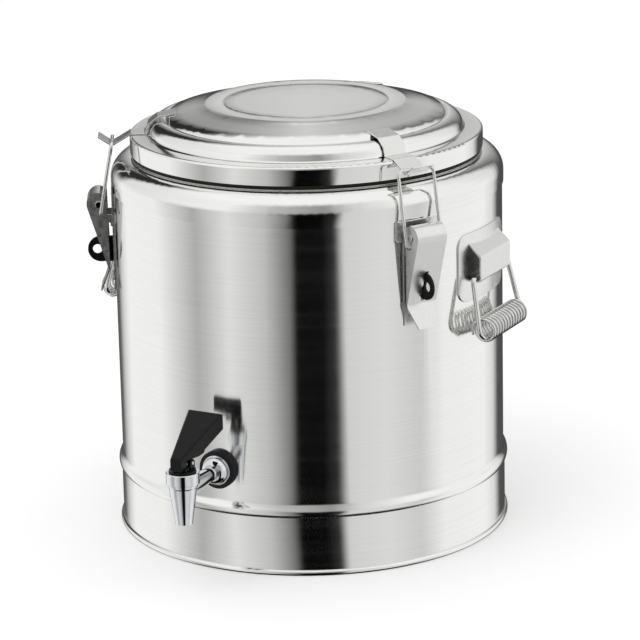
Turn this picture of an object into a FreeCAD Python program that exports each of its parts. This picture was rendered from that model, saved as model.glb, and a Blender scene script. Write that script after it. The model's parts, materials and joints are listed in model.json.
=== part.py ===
import FreeCAD, Part
import math
import os

# Insulated drink container: a double-walled steel urn with a lift-off lid, three toggle
# latches, two bail handles and a self-closing tap.
# Millimetres. The origin is the centre of the face that it stands on, +Z is up and the tap
# points along -Y. A fitting is modelled at azimuth 0, where outwards is -Y and sideways is
# +X, and is then turned about the Z axis to its place. Counter-clockwise from above is
# positive. A pair (r, z) below is a distance outwards from the Z axis and a height.

Vector = FreeCAD.Vector
UP = Vector(0, 0, 1)
SIDEWAYS = Vector(1, 0, 0)
OUTWARDS = Vector(0, -1, 0)
CENTRE = Vector(0, 0, 0)

# Body
body_radius = 175.0
shell_sheet = 1.0
skirt_sheet = 1.0
skirt_step = 1.2                  # the skirt stands this far outside the shell
skirt_height = 61.0
base_bead_radius = 2.5
base_bead_flat = 0.2              # the bead is pressed flat by this much where it stands
ridge_lap = 8.0                   # the shell's foot laps over the skirt
ridge_bulge = 1.4
ridge_lip = 1.0
ridge_slope = 4.5
shoulder_height = 340.0
shoulder_sheet = 1.2
shoulder_corner = 18.0
shoulder_depth = 28.0             # from the shoulder's top down to the seam
shoulder_mouth_gap = 1.5
seam_overlap = 6.0
bottom_height = 11.0
bottom_sheet = 1.0
bottom_flange = 6.0

# Tank
insulation_thickness = 25.0
tank_sheet = 1.0
tank_floor = 70.0
tank_corner = 7.0
tank_rim_width = 9.0
tank_mouth_radius = 1.5

# Lid
seal_thickness = 3.5
seal_width = 9.0
seal_plug_gap = 0.5
lid_sheet = 1.0
lid_overhang = 10.0               # from the tank's wall to the lid's wall
lid_wall_height = 16.0
lid_edge_radius = 2.5
lid_flange_width = 17.0
lid_flange_ramp = 1.5
lid_bulge_width = 14.0
lid_bulge_rise = 13.0
lid_lip_width = 1.2
lid_lip_depth = 0.7
lid_lip_floor = 1.1
lid_dome_ramp = 2.2
lid_dome_step = 3.4
lid_dome_width = 32.0
lid_dome_rise = 7.3
lid_ring_step = 1.5
lid_ring_width = 17.5
lid_groove_half = 0.6
lid_groove_ramp = 1.0
lid_groove_depth = 1.4
lid_disc_ramp = 1.4
lid_disc_crown = 1.2
lid_plug_depth = 19.0
lid_plug_gap = 2.0                # between the plug and the tank's wall
lid_pan_sheet = 0.8
lid_pan_corner = 5.0

# Straps that the latches hook over
strap_width = 22.0
strap_sheet = 1.2
strap_hold = 6.0                  # how far the strap's weld runs up the dome
strap_dome_gap = 1.0
strap_arch_reach = 5.5
strap_arch_rise = 1.6
strap_knee_inset = 1.0
strap_knee_drop = 4.4
strap_foot_gap = 1.8
strap_brow = 0.8                  # the slope starts this far out on the lid's rounded edge
strap_bend = 1.8
strap_arch_bend = 5.0             # over the lid's bulge
strap_fall_degrees = 30.0
strap_groove_reach = 15.7         # from the lid's wall to the groove
strap_lip_degrees = 34.0
strap_lip_length = 15.0
strap_lift = 0.15                 # keeps the flat strap off the round lid

# Latches
latch_azimuths = {"left": -60.0, "right": 60.0, "rear": 180.0}
latch_base_sheet = 1.5
latch_base_drop = 29.0            # from the shoulder's top to the plate's top edge
latch_base_height = 92.0
latch_base_width = 29.0
latch_head_width = 44.0
latch_head_height = 18.0
latch_head_chamfer = 3.5
latch_pivot_offset = 12.6         # from the body's wall to the lever's pivot
latch_pivot_drop = 12.0           # from the plate's top edge to the pivot
latch_pin_radius = 2.0
latch_pin_gap = 0.06
latch_pin_play = 0.3
latch_pin_head_radius = 3.0
latch_pin_head_height = 0.8
latch_ear_radius = 5.5
latch_ear_neck = 10.0             # the ears drop this far before they turn to the plate
latch_ear_drop = 20.0             # from the pivot to the ears' lowest end on the plate
latch_ear_sheet = 1.3
lever_width = 30.0
lever_sheet = 1.2
lever_end_radius = 10.8
lever_foot_offset = 5.8           # from the wall to the web's lower end
lever_foot_drop = 60.5            # from the pivot to the web's lower end
lever_edge_offset = 5.6           # from the wall to the flanges' inner edge, at the top
lever_edge_taper = 1.2
lever_edge_chamfer = 2.8
lever_side_gap = 0.8              # from a flange to the ear inside it
lever_tab_length = 23.5
lever_tab_degrees = 21.0          # from the vertical
lever_tab_tip_width = 16.0
lever_tab_inset = 0.35
lever_tab_lap = 0.9
lever_tab_shoulder = 3.0
lever_tab_tip_flat = 1.0
hook_crank_out = -1.5             # from the pivot to the hook wire's end
hook_crank_up = -8.9
hook_wire_radius = 1.5
hook_width = 36.0
hook_corner = 4.5
hook_end_bend = 3.0
hook_end_inside = 0.4             # what the wire's end stands out inside the lever
hook_groove_gap = 1.1             # upwards play of the wire in the strap's groove
eye_sheet = 2.5
eye_drop = 44.5                   # from the pivot to the eye's centre
eye_radius = 11.8
eye_centre_offset = 12.5
eye_hole_radius = 4.3
eye_hole_offset = 15.6
eye_slot_gap = 0.45
eye_slot_end_gap = 2.0
rivet_radius = 1.6
rivet_head_radius = 3.0
rivet_head_height = 1.4
rivet_side = 8.0
rivet_drops = (31.0, 81.0)        # from the plate's top edge

# Bail handles
handle_azimuths = {"right": 90.0, "left": -90.0}
bracket_drop = 53.0               # from the shoulder's top to the plate's top edge
bracket_width = 90.0
bracket_height = 61.0
bracket_corner = 12.0
bracket_sheet = 1.5
socket_rise = 18.0                # from the plate's lower edge to the bridge
socket_width = 62.0
socket_height = 33.0              # on the plate
socket_front_height = 23.0
socket_depth = 10.5
socket_edge_radius = 3.0
bail_wire_radius = 2.25
bail_pivot_offset = 5.2
bail_journal_gap = 0.15
bail_end_inset = 9.0              # from a socket's mouth to the wire's end inside it
bail_shoulder = 36.5              # half the width between the legs at the top
bail_foot = 43.8                  # half the width between the legs at the foot
bail_drop = 52.8
bail_lean_degrees = 11.4
bail_top_bend = 4.6
bail_foot_bend = 9.0
grip_radius = 11.2
grip_wire_radius = 1.25
grip_turns = 13
grip_pitch = 5.6
grip_seat_gap = 0.05

# Tap
tap_height = 93.0
tap_reach = 63.0                  # from the wall to the spout's axis
tap_thread_radius = 6.5
tap_bore_radius = 4.25
tap_hole_gap = 0.3
tap_sleeve_radius = 9.0
tap_sleeve_sheet = 1.5
tap_gasket_radius = 17.0
tap_gasket_thickness = 5.0
tap_flange_radius = 13.4
tap_flange_rim = 1.6
tap_flange_edge = 0.5
tap_dome_radius = 12.2
tap_dome_height = 9.0
tap_dome_swell = 1.0
tap_neck_gap = 1.2
tap_neck_radius = 6.2
tap_root_radius = 8.6
tap_inside_length = 12.5
washer_radius = 12.0
washer_thickness = 3.5
back_nut_flats = 22.0
back_nut_thickness = 6.0
spout_bottom = 63.6
spout_tip_radius = 7.6
spout_outlet_radius = 5.2
spout_height = 36.4               # up to the collar
spout_shoulder_radius = 13.2
spout_shoulder_height = 2.0
spout_shoulder_ramp = 2.0
spout_shoulder_inset = 0.8
spout_thread_radius = 11.4
spout_thread_height = 6.0
valve_chamber_radius = 9.4
valve_seat_rise = 16.4            # from the spout's mouth to the valve's seat
collar_radius = 14.5
collar_height = 10.2
collar_lip = 1.1
collar_chamfer = 0.6
collar_gap = 0.3
collar_mouth_radius = 12.0
bonnet_flange_radius = 12.8
bonnet_hub_radius = 11.7
bonnet_hub_height = 2.0           # above the collar
bonnet_plug_radius = 9.2
bonnet_plug_depth = 4.0
stem_radius = 2.6
stem_gap = 0.08
stem_head_radius = 4.6
stem_head_height = 1.6
stem_head_cover = 1.5
stem_top_above_pin = 3.0
cross_pin_radius = 1.2
cross_pin_inset = 0.2
seat_cup_radius = 8.2
seat_cup_height = 6.0
seat_gap = 0.1
spring_radius = 4.4
spring_wire_radius = 0.45
spring_turns = 5
lever_pin_radius = 1.5
lever_pin_setback = 4.5           # from the spout's axis towards the wall
lever_pin_rise = 7.0              # above the collar
lever_pin_gap = 0.06
lever_pin_end = 0.4
lug_radius = 3.5
lug_sheet = 2.0
lug_inside = 5.7
paddle_neck_width = 10.8
paddle_slot_width = 6.6
paddle_slot_play = 2.4
paddle_slot_roof = 3.0
paddle_front_reach = 11.0         # from the spout's axis outwards
paddle_back_reach = 42.0          # from the spout's axis towards the wall
paddle_front_rise = 7.6           # from the pin to the front edge
paddle_back_rise = 35.0           # from the pin to the back edge
paddle_back_width = 34.0
paddle_back_thickness = 14.5
paddle_step_reach = 18.5
paddle_step_ramp = 1.0
paddle_step_rise = 1.5
paddle_belly_reach = 11.5
paddle_belly_rise = 4.5
paddle_bevel = 1.6
paddle_heel_gap = 0.8
paddle_pin_play = 0.3

# How far a cutting shape reaches past what it cuts
past = 5.0

# Sizes that follow from the ones above
skirt_radius = body_radius + skirt_step
seam_height = shoulder_height - shoulder_depth
foam_radius = body_radius - shell_sheet
tank_outside = foam_radius - insulation_thickness
tank_radius = tank_outside - tank_sheet
rim_top = shoulder_height + tank_sheet
lid_radius = tank_radius + lid_overhang
lid_bottom = rim_top + seal_thickness
lid_flange = lid_bottom + lid_wall_height
lid_bulge_radius = lid_radius - lid_flange_width
lid_bulge_top_radius = lid_bulge_radius - lid_bulge_width
lid_bulge_top = lid_flange + lid_bulge_rise
lid_lip_radius = lid_bulge_top_radius - lid_lip_width
lid_dome_radius = lid_lip_radius - lid_lip_floor - lid_dome_ramp
lid_dome_edge = lid_bulge_top + lid_dome_step
lid_ring_radius = lid_dome_radius - lid_dome_width
lid_dome_top = lid_dome_edge + lid_dome_rise
lid_ring_top = lid_dome_top + lid_ring_step
lid_disc_radius = lid_ring_radius - lid_ring_width
lid_plug_radius = tank_radius - lid_plug_gap
latch_base_top = shoulder_height - latch_base_drop
latch_base_bottom = latch_base_top - latch_base_height
pivot_r = body_radius + latch_pivot_offset
pivot_z = latch_base_top - latch_pivot_drop
hook_end = (pivot_r + hook_crank_out, pivot_z + hook_crank_up)
eye_height = pivot_z - eye_drop
bracket_top = shoulder_height - bracket_drop
bracket_bottom = bracket_top - bracket_height
socket_bottom = bracket_bottom + socket_rise
bail_pivot_r = body_radius + bail_pivot_offset
bail_pivot_z = socket_bottom + bracket_sheet + bail_wire_radius + bail_journal_gap
spout_r = body_radius + tap_reach
collar_bottom = spout_bottom + spout_height
collar_top = collar_bottom + collar_height
spout_thread_top = collar_bottom + spout_thread_height
valve_seat = spout_bottom + valve_seat_rise
lever_pin_r = spout_r - lever_pin_setback
lever_pin_z = collar_top + lever_pin_rise


def polar(centre, radius, degrees):
    """The point (r, z) at a distance and an angle from a centre (r, z)."""
    angle = math.radians(degrees)
    return (centre[0] + radius * math.cos(angle), centre[1] + radius * math.sin(angle))


def in_plane(point, side=0.0):
    """A point (r, z) in the vertical plane at azimuth 0, or beside it."""
    return Vector(side, -point[0], point[1])


def outline(start, steps, place=in_plane):
    """A closed face: each step is an end point, or a point on an arc and its end point."""
    edges = []
    here = start
    for step in list(steps) + [start]:
        if isinstance(step[0], tuple):
            middle, end = step
            edges.append(Part.Arc(place(here), place(middle), place(end)).toShape())
        else:
            end = step
            if math.dist(here, end) > 1e-6:
                edges.append(Part.LineSegment(place(here), place(end)).toShape())
        here = end
    return Part.Face(Part.Wire(edges))


def turned(start, steps):
    """A solid of revolution about the Z axis."""
    return outline(start, steps).revolve(CENTRE, UP, 360)


def prism(start, steps, side_from, side_to):
    """An outline in the (r, z) plane, pulled sideways between two distances."""
    face = outline(start, steps, lambda point: in_plane(point, side_from))
    return face.extrude(Vector(side_to - side_from, 0, 0))


def plate(start, steps, r_from, r_to):
    """An outline of (side, z) points, pulled outwards between two distances."""
    face = outline(start, steps, lambda point: Vector(point[0], -r_from, point[1]))
    return face.extrude(OUTWARDS * (r_to - r_from))


def column(radius, bottom, top, r=0.0):
    """An upright round bar, with its axis at the distance r outwards."""
    return Part.makeCylinder(radius, top - bottom, Vector(0, -r, bottom), UP)


def spoke(radius, r_from, r_to, height, azimuth=0.0):
    """A round bar that points outwards."""
    bar = Part.makeCylinder(radius, r_to - r_from, Vector(0, -r_from, height), OUTWARDS)
    return at_azimuth(bar, azimuth)


def axle(radius, centre, half_length):
    """A round bar along the sideways direction."""
    start = in_plane(centre, -half_length)
    return Part.makeCylinder(radius, 2 * half_length, start, SIDEWAYS)


def block(side_from, side_to, r_from, r_to, bottom, top):
    """A box in the axes of a fitting."""
    corner = Vector(side_from, -r_to, bottom)
    return Part.makeBox(side_to - side_from, r_to - r_from, top - bottom, corner)


def at_azimuth(shape, degrees):
    """A copy of a fitting, turned about the urn's axis to its place."""
    placed = shape.copy()
    placed.rotate(CENTRE, UP, degrees)
    return placed


def fused(shapes):
    """One solid from several that touch or overlap."""
    return shapes[0].multiFuse(shapes[1:]).removeSplitter()


def rounded_path(points, radii):
    """Straight runs through the points, joined by arcs of the given radii."""
    edges = []
    here = points[0]
    for before, corner, after, radius in zip(points, points[1:], points[2:], radii):
        back = (before - corner).normalize()
        ahead = (after - corner).normalize()
        half_angle = math.acos(max(-1.0, min(1.0, back.dot(ahead)))) / 2
        reach = radius / math.tan(half_angle)
        first = corner + back * reach
        last = corner + ahead * reach
        inwards = (back + ahead).normalize()
        middle = corner + inwards * (radius / math.sin(half_angle) - radius)
        edges.append(Part.LineSegment(here, first).toShape())
        edges.append(Part.Arc(first, middle, last).toShape())
        here = last
    edges.append(Part.LineSegment(here, points[-1]).toShape())
    return Part.Wire(edges)


def wire_along(path, radius, start, direction):
    """A round wire along a path that begins at start in the given direction."""
    profile = Part.Wire([Part.makeCircle(radius, start, direction)])
    return path.makePipeShell([profile], True, False)


def biarc(start, start_direction, end, end_direction):
    """Two tangent arcs between two points with given directions."""
    chord = end - start
    total = start_direction + end_direction
    spread = 2 * (1 - start_direction.dot(end_direction))
    along = chord.dot(total)
    handle = (math.sqrt(along * along + spread * chord.dot(chord)) - along) / spread
    first_handle = start + start_direction * handle
    last_handle = end - end_direction * handle
    joint = (first_handle + last_handle) * 0.5
    arcs = []
    for near, corner, far in ((start, first_handle, joint), (joint, last_handle, end)):
        middle = (near + far) * 0.5
        half_chord = near.distanceToPoint(far) / 2
        height = corner.distanceToPoint(middle)
        half_turn = math.atan2(height, half_chord)
        rise = half_chord * math.tan(half_turn / 2)
        top = middle + (corner - middle) * (rise / height)
        arcs.append(Part.Arc(near, top, far).toShape())
    return arcs


def coil(radius, wire_radius, turns, pitch, name):
    """A spring along +X from the origin, with a straight diameter of wire at each end."""
    slope = pitch / (2 * math.pi)
    quarter = math.pi / 2

    def point(angle):
        return Vector(slope * angle, radius * math.cos(angle), radius * math.sin(angle))

    def heading(angle):
        step = Vector(slope, -radius * math.sin(angle), radius * math.cos(angle))
        return step.normalize()

    edges = []
    tail = 2 * wire_radius
    begin = point(0) - heading(0) * tail
    edges.append(Part.LineSegment(begin, point(0)).toShape())
    for index in range(4 * turns):
        low = index * quarter
        high = low + quarter
        edges += biarc(point(low), heading(low), point(high), heading(high))
    last = 4 * turns * quarter
    end = point(last) + heading(last) * tail
    edges.append(Part.LineSegment(point(last), end).toShape())
    gap = least_gap([point(index * math.pi / 60) for index in range(240)], 90, wire_radius)
    print(name, "turns", turns, "least gap to itself", round(gap, 3))
    return wire_along(Part.Wire(edges), wire_radius, begin, heading(0))


def least_gap(points, apart, wire_radius):
    """The least gap of a wire to itself, measured on points of its centre line."""
    nearest = min(
        points[first].distanceToPoint(points[second])
        for first in range(len(points))
        for second in range(first + apart, len(points))
    )
    return nearest - 2 * wire_radius


def save(name, shape):
    """Writes one piece and prints what it holds."""
    shape.exportStep("parts/" + name + ".step")
    print(name, len(shape.Solids), "solid", round(shape.Volume / 1000, 2), "cm3")


def lid_outline(inset):
    """The lid's stepped top from its wall's foot to its centre, moved in and down."""

    def moved(r, z):
        return (r - inset, z - inset)

    def lowered(r, z):
        return (r, z - inset)

    flange_corner = (lid_radius - lid_edge_radius, lid_flange - lid_edge_radius)
    bulge_middle = moved(
        lid_bulge_top_radius + 0.72 * lid_bulge_width,
        lid_bulge_top - 0.27 * lid_bulge_rise,
    )
    lip_floor = lid_bulge_top - lid_lip_depth
    groove_floor = lid_ring_top - lid_groove_depth
    groove_outer = lid_disc_radius + lid_groove_half
    groove_inner = lid_disc_radius - lid_groove_half
    disc_top = lid_ring_top + lid_disc_crown
    edge = polar(flange_corner, lid_edge_radius, 45)
    return [
        moved(lid_radius, flange_corner[1]),
        (moved(*edge), moved(flange_corner[0], lid_flange)),
        moved(lid_bulge_radius + lid_flange_ramp, lid_flange),
        moved(lid_bulge_radius, lid_flange + lid_flange_ramp),
        (bulge_middle, moved(lid_bulge_top_radius, lid_bulge_top)),
        moved(lid_lip_radius, lip_floor),
        moved(lid_lip_radius - lid_lip_floor, lip_floor),
        moved(lid_dome_radius, lid_dome_edge),
        lowered(lid_ring_radius, lid_dome_top),
        lowered(lid_ring_radius - lid_ring_step, lid_ring_top),
        lowered(groove_outer + lid_groove_ramp, lid_ring_top),
        lowered(groove_outer, groove_floor),
        lowered(groove_inner, groove_floor),
        lowered(groove_inner - lid_disc_ramp, lid_ring_top),
        lowered(0.6 * lid_disc_radius, disc_top - 0.3 * lid_disc_crown),
        lowered(0.25 * lid_disc_radius, disc_top),
        (0.0, disc_top - inset),
    ]


def outer_shell():
    """The rolled cylinder, with the bulged ridge that laps over the skirt."""
    ridge_radius = skirt_radius + shell_sheet
    ridge_bottom = skirt_height - ridge_lap
    ridge_middle = skirt_height - ridge_lap / 2
    ridge_end = skirt_height + ridge_lip
    shell_top = seam_height + seam_overlap
    return turned(
        (skirt_radius, ridge_bottom),
        [
            (ridge_radius, ridge_bottom),
            ((ridge_radius + ridge_bulge, ridge_middle), (ridge_radius, ridge_end)),
            (body_radius, ridge_end + ridge_slope),
            (body_radius, shell_top),
            (foam_radius, shell_top),
            (foam_radius, ridge_end + ridge_slope),
            (skirt_radius, skirt_height),
        ],
    )


def base_skirt():
    """The plinth, rolled outwards round its foot."""
    bead_height = base_bead_radius - base_bead_flat
    wall = turned(
        (skirt_radius - skirt_sheet, bead_height),
        [
            (skirt_radius, bead_height),
            (skirt_radius, skirt_height),
            (skirt_radius - skirt_sheet, skirt_height),
        ],
    )
    bead = Part.makeTorus(skirt_radius, base_bead_radius, Vector(0, 0, bead_height), UP)
    ground = column(skirt_radius + base_bead_radius + past, -base_bead_radius, 0)
    return fused([wall, bead.cut(ground)])


def bottom_plate():
    """The pan that closes the body from below."""
    edge = skirt_radius - skirt_sheet
    top = bottom_height + bottom_sheet
    return turned(
        (0, bottom_height),
        [
            (edge - bottom_sheet, bottom_height),
            (edge - bottom_sheet, bottom_height - bottom_flange),
            (edge, bottom_height - bottom_flange),
            (edge, top),
            (0, top),
        ],
    )


def shoulder_ring():
    """The polished band above the seam, rounded in towards the mouth."""
    outer = body_radius + shoulder_sheet
    centre = (outer - shoulder_corner, shoulder_height - shoulder_corner)
    inner_corner = shoulder_corner - shoulder_sheet
    neck = tank_outside + shoulder_mouth_gap
    return turned(
        (outer, seam_height),
        [
            (outer, centre[1]),
            (polar(centre, shoulder_corner, 45), (centre[0], shoulder_height)),
            (neck, shoulder_height),
            (neck, shoulder_height - shoulder_sheet),
            (centre[0], shoulder_height - shoulder_sheet),
            (polar(centre, inner_corner, 45), (body_radius, centre[1])),
            (body_radius, seam_height),
        ],
    )


def inner_tank():
    """The deep pot that holds the drink, with its rim turned out over the shoulder."""
    under = tank_floor - tank_sheet
    outer_corner = tank_corner + tank_sheet
    outer_centre = (tank_outside - outer_corner, under + outer_corner)
    mouth = (tank_radius + tank_mouth_radius, rim_top - tank_mouth_radius)
    rim_edge = tank_radius + tank_rim_width
    pot = turned(
        (0, under),
        [
            (outer_centre[0], under),
            (polar(outer_centre, outer_corner, -45), (tank_outside, outer_centre[1])),
            (tank_outside, shoulder_height),
            (rim_edge, shoulder_height),
            (rim_edge, rim_top),
            (mouth[0], rim_top),
            (polar(mouth, tank_mouth_radius, 135), (tank_radius, mouth[1])),
            (tank_radius, outer_centre[1]),
            (polar(outer_centre, tank_corner, -45), (outer_centre[0], tank_floor)),
            (0, tank_floor),
        ],
    )
    return pot.cut(spoke(tap_thread_radius + tap_hole_gap, 0, body_radius, tap_height))


def body_foam():
    """Insulation between the tank and the outer casing."""
    corner = shoulder_corner - shoulder_sheet - shell_sheet
    centre = (foam_radius - corner, shoulder_height - shoulder_corner)
    under = tank_floor - tank_sheet
    tank_bend = tank_corner + tank_sheet
    tank_centre = (tank_outside - tank_bend, under + tank_bend)
    foam_bottom = bottom_height + bottom_sheet
    foam_top = centre[1] + corner
    foam = turned(
        (0, foam_bottom),
        [
            (foam_radius, foam_bottom),
            (foam_radius, centre[1]),
            (polar(centre, corner, 45), (centre[0], foam_top)),
            (tank_outside, foam_top),
            (tank_outside, tank_centre[1]),
            (polar(tank_centre, tank_bend, -45), (tank_centre[0], under)),
            (0, under),
        ],
    )
    return foam.cut(spoke(tap_sleeve_radius, tank_radius, body_radius + past, tap_height))


def lid_cover():
    """The stepped, domed top shell of the lid."""
    outside = turned((0, lid_bottom), [(lid_radius, lid_bottom)] + lid_outline(0))
    low = lid_bottom - lid_sheet
    hollow = turned((0, low), [(lid_radius - lid_sheet, low)] + lid_outline(lid_sheet))
    return outside.cut(hollow)


def lid_pan():
    """The lid's underside: a flange above the seal and a plug that enters the tank."""
    flange_top = lid_bottom + lid_pan_sheet
    floor = lid_bottom - lid_plug_depth
    edge = lid_radius - lid_sheet
    centre = (lid_plug_radius - lid_pan_corner, floor + lid_pan_corner)
    inner_corner = lid_pan_corner - lid_pan_sheet
    return turned(
        (0, floor),
        [
            (centre[0], floor),
            (polar(centre, lid_pan_corner, -45), (lid_plug_radius, centre[1])),
            (lid_plug_radius, lid_bottom),
            (edge, lid_bottom),
            (edge, flange_top),
            (lid_plug_radius - lid_pan_sheet, flange_top),
            (lid_plug_radius - lid_pan_sheet, centre[1]),
            (polar(centre, inner_corner, -45), (centre[0], floor + lid_pan_sheet)),
            (0, floor + lid_pan_sheet),
        ],
    )


def lid_foam():
    """Insulation inside the lid."""
    floor = lid_bottom - lid_plug_depth + lid_pan_sheet
    corner = lid_pan_corner - lid_pan_sheet
    centre = (lid_plug_radius - lid_pan_corner, floor + corner)
    plug = lid_plug_radius - lid_pan_sheet
    shelf = lid_bottom + lid_pan_sheet
    steps = [
        (centre[0], floor),
        (polar(centre, corner, -45), (plug, centre[1])),
        (plug, shelf),
        (lid_radius - lid_sheet, shelf),
    ]
    return turned((0, floor), steps + lid_outline(lid_sheet))


def lid_seal():
    """The rubber ring that the lid sits on."""
    inner = lid_plug_radius + seal_plug_gap
    return turned(
        (inner, rim_top),
        [(inner + seal_width, rim_top), (inner + seal_width, lid_bottom), (inner, lid_bottom)],
    )


def lid_dome_height(r):
    """The height of the lid's sloping dome at the distance r."""
    slope = lid_dome_rise / (lid_dome_radius - lid_ring_radius)
    return lid_dome_edge + (lid_dome_radius - r) * slope


def strap_points():
    """The strap's lower face, from its weld on the dome to the tip of its lip."""
    fall = math.radians(strap_fall_degrees)
    lip = math.radians(strap_lip_degrees)
    start = lid_dome_radius - strap_hold
    edge = lid_dome_radius - strap_dome_gap
    shelf = lid_flange + strap_lift
    brow = lid_radius - lid_edge_radius + strap_brow
    groove_r = lid_radius + strap_groove_reach
    groove = (groove_r, shelf - (groove_r - brow) * math.tan(fall))
    tip = (
        groove[0] + strap_lip_length * math.cos(lip),
        groove[1] + strap_lip_length * math.sin(lip),
    )
    return [
        (start, lid_dome_height(start) + strap_lift),
        (edge, lid_dome_height(edge) + strap_lift),
        (lid_bulge_top_radius + strap_arch_reach, lid_bulge_top + strap_arch_rise),
        (lid_bulge_radius - strap_knee_inset, lid_bulge_top - strap_knee_drop),
        (lid_bulge_radius + strap_foot_gap, shelf),
        (brow, shelf),
        groove,
        tip,
    ]


def groove_seat():
    """Where a wire rests in the strap's groove: its centre as (r, z)."""
    groove = strap_points()[6]
    fall = math.radians(strap_fall_degrees)
    lip = math.radians(strap_lip_degrees)
    reach = hook_wire_radius + strap_sheet
    across = math.tan(fall) + math.tan(lip)
    side = (reach / math.cos(fall) - reach / math.cos(lip)) / across
    rise = reach / math.cos(lip) + side * math.tan(lip)
    return (groove[0] + side, groove[1] + rise)


def offset_points(points, distance):
    """The points of a bent line, moved to its upper side by a distance."""
    normals = []
    for near, far in zip(points, points[1:]):
        length = math.dist(near, far)
        normals.append(((near[1] - far[1]) / length, (far[0] - near[0]) / length))
    moved = []
    for index, point in enumerate(points):
        before = normals[max(index - 1, 0)]
        after = normals[min(index, len(normals) - 1)]
        share = 1 + before[0] * after[0] + before[1] * after[1]
        out = (before[0] + after[0]) * distance / share
        up = (before[1] + after[1]) * distance / share
        moved.append((point[0] + out, point[1] + up))
    return moved


def lid_strap():
    """A flat steel strap that follows the lid's steps and ends in a grooved tongue."""
    lower = strap_points()
    upper = offset_points(lower, strap_sheet)
    half = strap_width / 2
    strap = prism(lower[0], lower[1:] + upper[::-1], -half, half)
    arch = 2
    others = [index for index in range(1, len(lower) - 1) if index != arch]
    for radius, places in ((strap_arch_bend, [arch]), (strap_bend, others)):
        bends = []
        for index in places:
            for row in (lower, upper):
                bends += edges_through(strap, in_plane(row[index]))
        strap = strap.makeFillet(radius, bends)
    return strap


def edges_through(shape, point):
    """The edges of a shape that pass through a point."""
    vertex = Part.Vertex(point)
    return [edge for edge in shape.Edges if edge.distToShape(vertex)[0] < 1e-4]


def latch_base():
    """The plate on the wall, with two ears that reach up to the lever's pivot."""
    inner = body_radius
    outer = body_radius + latch_base_sheet
    half = latch_base_width / 2
    head = latch_head_width / 2
    step = latch_base_top - latch_head_height
    sheet = plate(
        (-half, latch_base_bottom),
        [
            (half, latch_base_bottom),
            (half, step),
            (head - latch_head_chamfer, step),
            (head, step + latch_head_chamfer),
            (head, latch_base_top),
            (-head, latch_base_top),
            (-head, step + latch_head_chamfer),
            (-head + latch_head_chamfer, step),
            (-half, step),
        ],
        inner - head,
        outer + past,
    )
    sheet = sheet.common(column(outer, latch_base_bottom, latch_base_top))
    ear_outside = lever_width / 2 - lever_sheet - lever_side_gap
    ear_inside = ear_outside - latch_ear_sheet
    pivot = (pivot_r, pivot_z)
    root = inner - latch_base_sheet
    near = pivot_r - latch_ear_radius
    far = pivot_r + latch_ear_radius
    neck = pivot_z - latch_ear_neck
    ears = []
    for start, end in ((-ear_outside, -ear_inside), (ear_inside, ear_outside)):
        crown = (polar(pivot, latch_ear_radius, 90), (near, pivot_z))
        steps = [(far, neck), (far, pivot_z), crown, (near, neck), (root, neck)]
        ears.append(prism((root, pivot_z - latch_ear_drop), steps, start, end))
    base = fused([sheet] + ears)
    base = base.cut(column(inner, latch_base_bottom - past, latch_base_top + past))
    return base.cut(axle(latch_pin_radius, pivot, lever_width))


def latch_pin():
    """The rivet that the lever turns on."""
    pivot = (pivot_r, pivot_z)
    shank_half = lever_width / 2 + latch_pin_play
    head_half = shank_half + latch_pin_head_height
    shank = axle(latch_pin_radius, pivot, head_half)
    heads = []
    for start in (-head_half, shank_half):
        place = in_plane(pivot, start)
        head = Part.makeCylinder(
            latch_pin_head_radius, latch_pin_head_height, place, SIDEWAYS
        )
        heads.append(head)
    return fused([shank] + heads)


def latch_lever():
    """The over-centre lever: a channel with a rounded end and an outward finger tab."""
    pivot = (pivot_r, pivot_z)
    foot = (body_radius + lever_foot_offset, pivot_z - lever_foot_drop)
    to_foot = math.degrees(math.atan2(foot[1] - pivot[1], foot[0] - pivot[0]))
    span = math.dist(foot, pivot)
    tangent = to_foot + math.degrees(math.acos(lever_end_radius / span))
    edge_r = body_radius + lever_edge_offset
    crown = 97.0
    rounding = (tangent + crown) / 2
    half = lever_width / 2
    inner_radius = lever_end_radius - lever_sheet
    outside = prism(
        foot,
        [
            polar(pivot, lever_end_radius, tangent),
            (polar(pivot, lever_end_radius, rounding), polar(pivot, lever_end_radius, crown)),
            (edge_r, pivot_z + lever_end_radius - lever_edge_chamfer),
            (edge_r - lever_edge_taper, foot[1] + lever_edge_chamfer),
        ],
        -half,
        half,
    )
    inwards = math.radians(tangent + 180)
    inner_foot = (
        foot[0] + lever_sheet * math.cos(inwards),
        foot[1] + lever_sheet * math.sin(inwards),
    )
    open_r = edge_r - lever_edge_taper - past
    hollow = prism(
        inner_foot,
        [
            polar(pivot, inner_radius, tangent),
            (polar(pivot, inner_radius, rounding), polar(pivot, inner_radius, crown)),
            polar(pivot, lever_end_radius + past, crown),
            (open_r, pivot_z + lever_end_radius + past),
            (open_r, inner_foot[1]),
        ],
        -half + lever_sheet,
        half - lever_sheet,
    )
    channel = outside.cut(hollow)
    lever = fused([channel, lever_tab(foot)])
    slot_half = eye_sheet / 2 + eye_slot_gap
    slot = block(
        -slot_half,
        slot_half,
        body_radius,
        pivot_r + lever_end_radius + past,
        eye_height - eye_radius - eye_slot_end_gap,
        eye_height + eye_radius + eye_slot_end_gap,
    )
    lever = lever.cut(slot)
    lever = lever.cut(axle(latch_pin_radius + latch_pin_gap, pivot, lever_width))
    return lever.cut(axle(hook_wire_radius + latch_pin_gap, hook_end, lever_width))


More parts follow.
